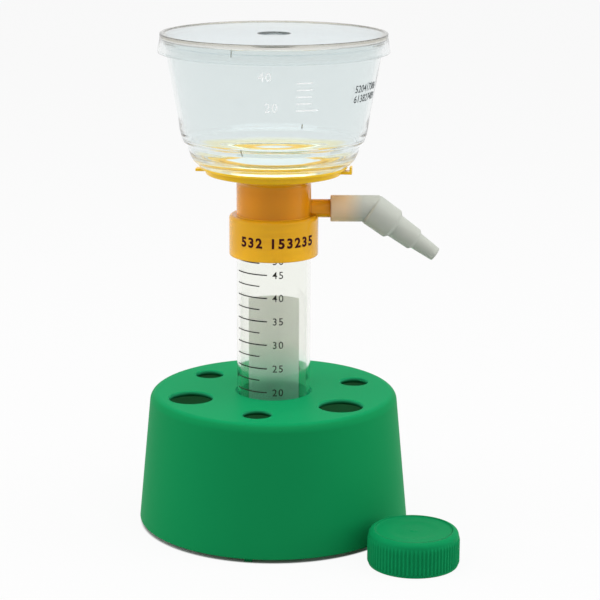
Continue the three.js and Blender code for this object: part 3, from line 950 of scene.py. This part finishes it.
def make_adapter():
    """A level sleeve and a sloping stepped barb in one, with a socket for the stub and a bore right through."""
    sleeve_end = bend_distance + 3.4
    barb_end = 3 * barb_step
    fit_radius = stub_radius + 0.3
    sleeve = turned(eased([(0, adapter_start, 0), (adapter_radius, adapter_start, 0.45),
                           (adapter_radius, sleeve_end, 0.2), (0, sleeve_end, 0)]), 72)
    barb = turned(eased([
        (0, -0.2, 0), (6.3, -0.2, 1.4), (6.1, barb_step, 0.25), (4.75, barb_step + 1.2, 0.4),
        (4.4, 2 * barb_step, 0.25), (3.4, 2 * barb_step + 1.0, 0.4), (2.75, barb_end, 0.3),
        (0, barb_end, 0)]), 72)
    socket = turned(np.array([[0, adapter_start - 1], [fit_radius, adapter_start - 1],
                              [fit_radius, stub_end + 0.3], [sleeve_bore, stub_end + 0.4],
                              [sleeve_bore, bend_distance + 1], [0, bend_distance + 1]]), 48)
    bore = turned(np.array([[0, 0], [adapter_bore, 0], [adapter_bore, barb_end + 1], [0, barb_end + 1]]), 40)
    adapter = make_piece("adapter_elbow", moved(tilted(sleeve, 90), 0, 0, port_height))
    tilt = 90 + bend_angle
    sloping_barb = moved(tilted(barb, tilt), bend_distance, 0, port_height)
    sloping_bore = moved(tilted(bore, tilt), bend_distance, 0, port_height)
    reshape_with(adapter, make_piece("barb", sloping_barb), "UNION")
    reshape_with(adapter, make_piece("socket", moved(tilted(socket, 90), 0, 0, port_height)), "DIFFERENCE")
    reshape_with(adapter, make_piece("bore", sloping_bore), "DIFFERENCE")
    return adapter


def milky_polyethylene():
    """Natural polyethylene, moulded: light spreads inside it, so it glows softly and shows no sharp edge behind
    it. Over the amber stub in its sleeve a warmer tint is painted on, for the amber light that comes through the
    wall."""
    warm_length = 7
    material = new_material("moulded_natural_polyethylene")
    place = add_node(material, "TexCoord").outputs["Object"]
    cloud = add_node(material, "TexNoise", {"Vector": place, "Scale": 1 / (6 * MM), "Detail": 3.0})
    tone = add_node(material, "MixRGB", {0: cloud.outputs[0], 1: linear("#c5c9bf"), 2: linear("#cccfc6")})
    along = add_node(material, "SeparateXYZ", {0: place}).outputs["X"]
    # Painted light: towards the stub's end the sleeve is mixed to a warmer tint for the amber seen through it.
    over_stub = add_node(material, "MapRange", {
        "Value": along, "From Min": (axis_x + stub_end) * MM,
        "From Max": (axis_x + stub_end - warm_length) * MM})
    painted_stub_light = add_node(material, "MixRGB", {0: over_stub.outputs[0], 1: tone.outputs[0], 2: linear("#f4d8b1")})
    bump = add_node(material, "Bump", {"Height": cloud.outputs[0], "Strength": 0.08, "Distance": 0.3 * MM})
    shader = add_node(material, "BsdfPrincipled", {
        "Base Color": painted_stub_light.outputs[0], "Roughness": 0.5, "IOR": 1.51, "Transmission Weight": 0.3,
        "Specular IOR Level": 0.3, "Normal": bump.outputs[0]})
    add_node(material, "OutputMaterial", {"Surface": shader.outputs[0]})
    return material


finish_piece(make_adapter(), milky_polyethylene(), "adapter", "adapter_grey", "hose_adapter")


# ---- Tube cap ----
# The tube's own screw cap, moulded in green polypropylene: fine grip ribs round its wall, a shallow recess in
# its top, and inside it a thread and a plug ring. It lies on the bench beside the stand.

cap_low, cap_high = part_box("tube_cap")
cap_x, cap_y = ((cap_low + cap_high) / 2 / MM).to_2d()
cap_root = 16.85
cap_rib = 0.43
cap_height = 13.3
cap_bore = 15.8
cap_thread_height = 0.8
grip_ribs = 72
grip_foot = 0.8
grip_top = 11.4


def cap_relief(angle, radius, height):
    """Grip ribs outside, which fade towards the shoulder and stop above the foot, and the thread inside."""
    wave = np.clip(0.5 + 1.6 * np.cos(grip_ribs * angle), 0, 1)
    fade = np.clip((height - grip_foot) / 0.4, 0, 1) * np.clip((grip_top - height) / 1.6, 0, 1)
    outside = cap_rib * wave * fade * (radius > cap_root - 0.55)
    inside = -cap_thread_height * helical_ridge(angle, height, 0.6, 9.0) * (np.abs(radius - cap_bore) < 0.01)
    return outside + inside


def cap_outline():
    """Up the wall, over the shoulder, in across the dished top, and inside it round the plug ring and down."""
    shoulder = 1.9
    plate = cap_height - 0.35
    ceiling = cap_height - 1.6
    return np.concatenate([
        eased([(cap_bore, 0, 0.15), (cap_root, 0, 0.3), (cap_root, grip_foot - 0.1, 0)]),
        upright(cap_root, grip_foot, cap_height - shoulder, 24),
        arc(cap_root - shoulder, cap_height - shoulder, shoulder, 0, 90, 14),
        eased([(14.6, cap_height, 0.2), (13.8, plate, 0.4), (9.6, plate - 0.1, 1.0), (7.0, plate - 0.4, 1.2),
               (1.5, plate - 0.4, 0.2), (1.1, plate - 0.2, 0.15), (0, plate - 0.2, 0)]),
        eased([(0, ceiling, 0), (12, ceiling, 0.2), (12.1, ceiling - 2, 0.2), (12.8, ceiling - 2, 0.2),
               (12.9, ceiling, 0.2), (cap_bore, ceiling, 0.3), (cap_bore, 9.6, 0)], 3),
        upright(cap_bore, 9.4, 0.3, 40),
    ])


cap = make_piece("cap_shell", turned(cap_outline(), grip_ribs * 9, cap_relief), (cap_x, cap_y, 0))
cap_green = green_polypropylene("moulded_polypropylene_cap", "#0a8b55")
finish_piece(cap, cap_green, "stand_and_tube", "cap_green", "tube_cap")
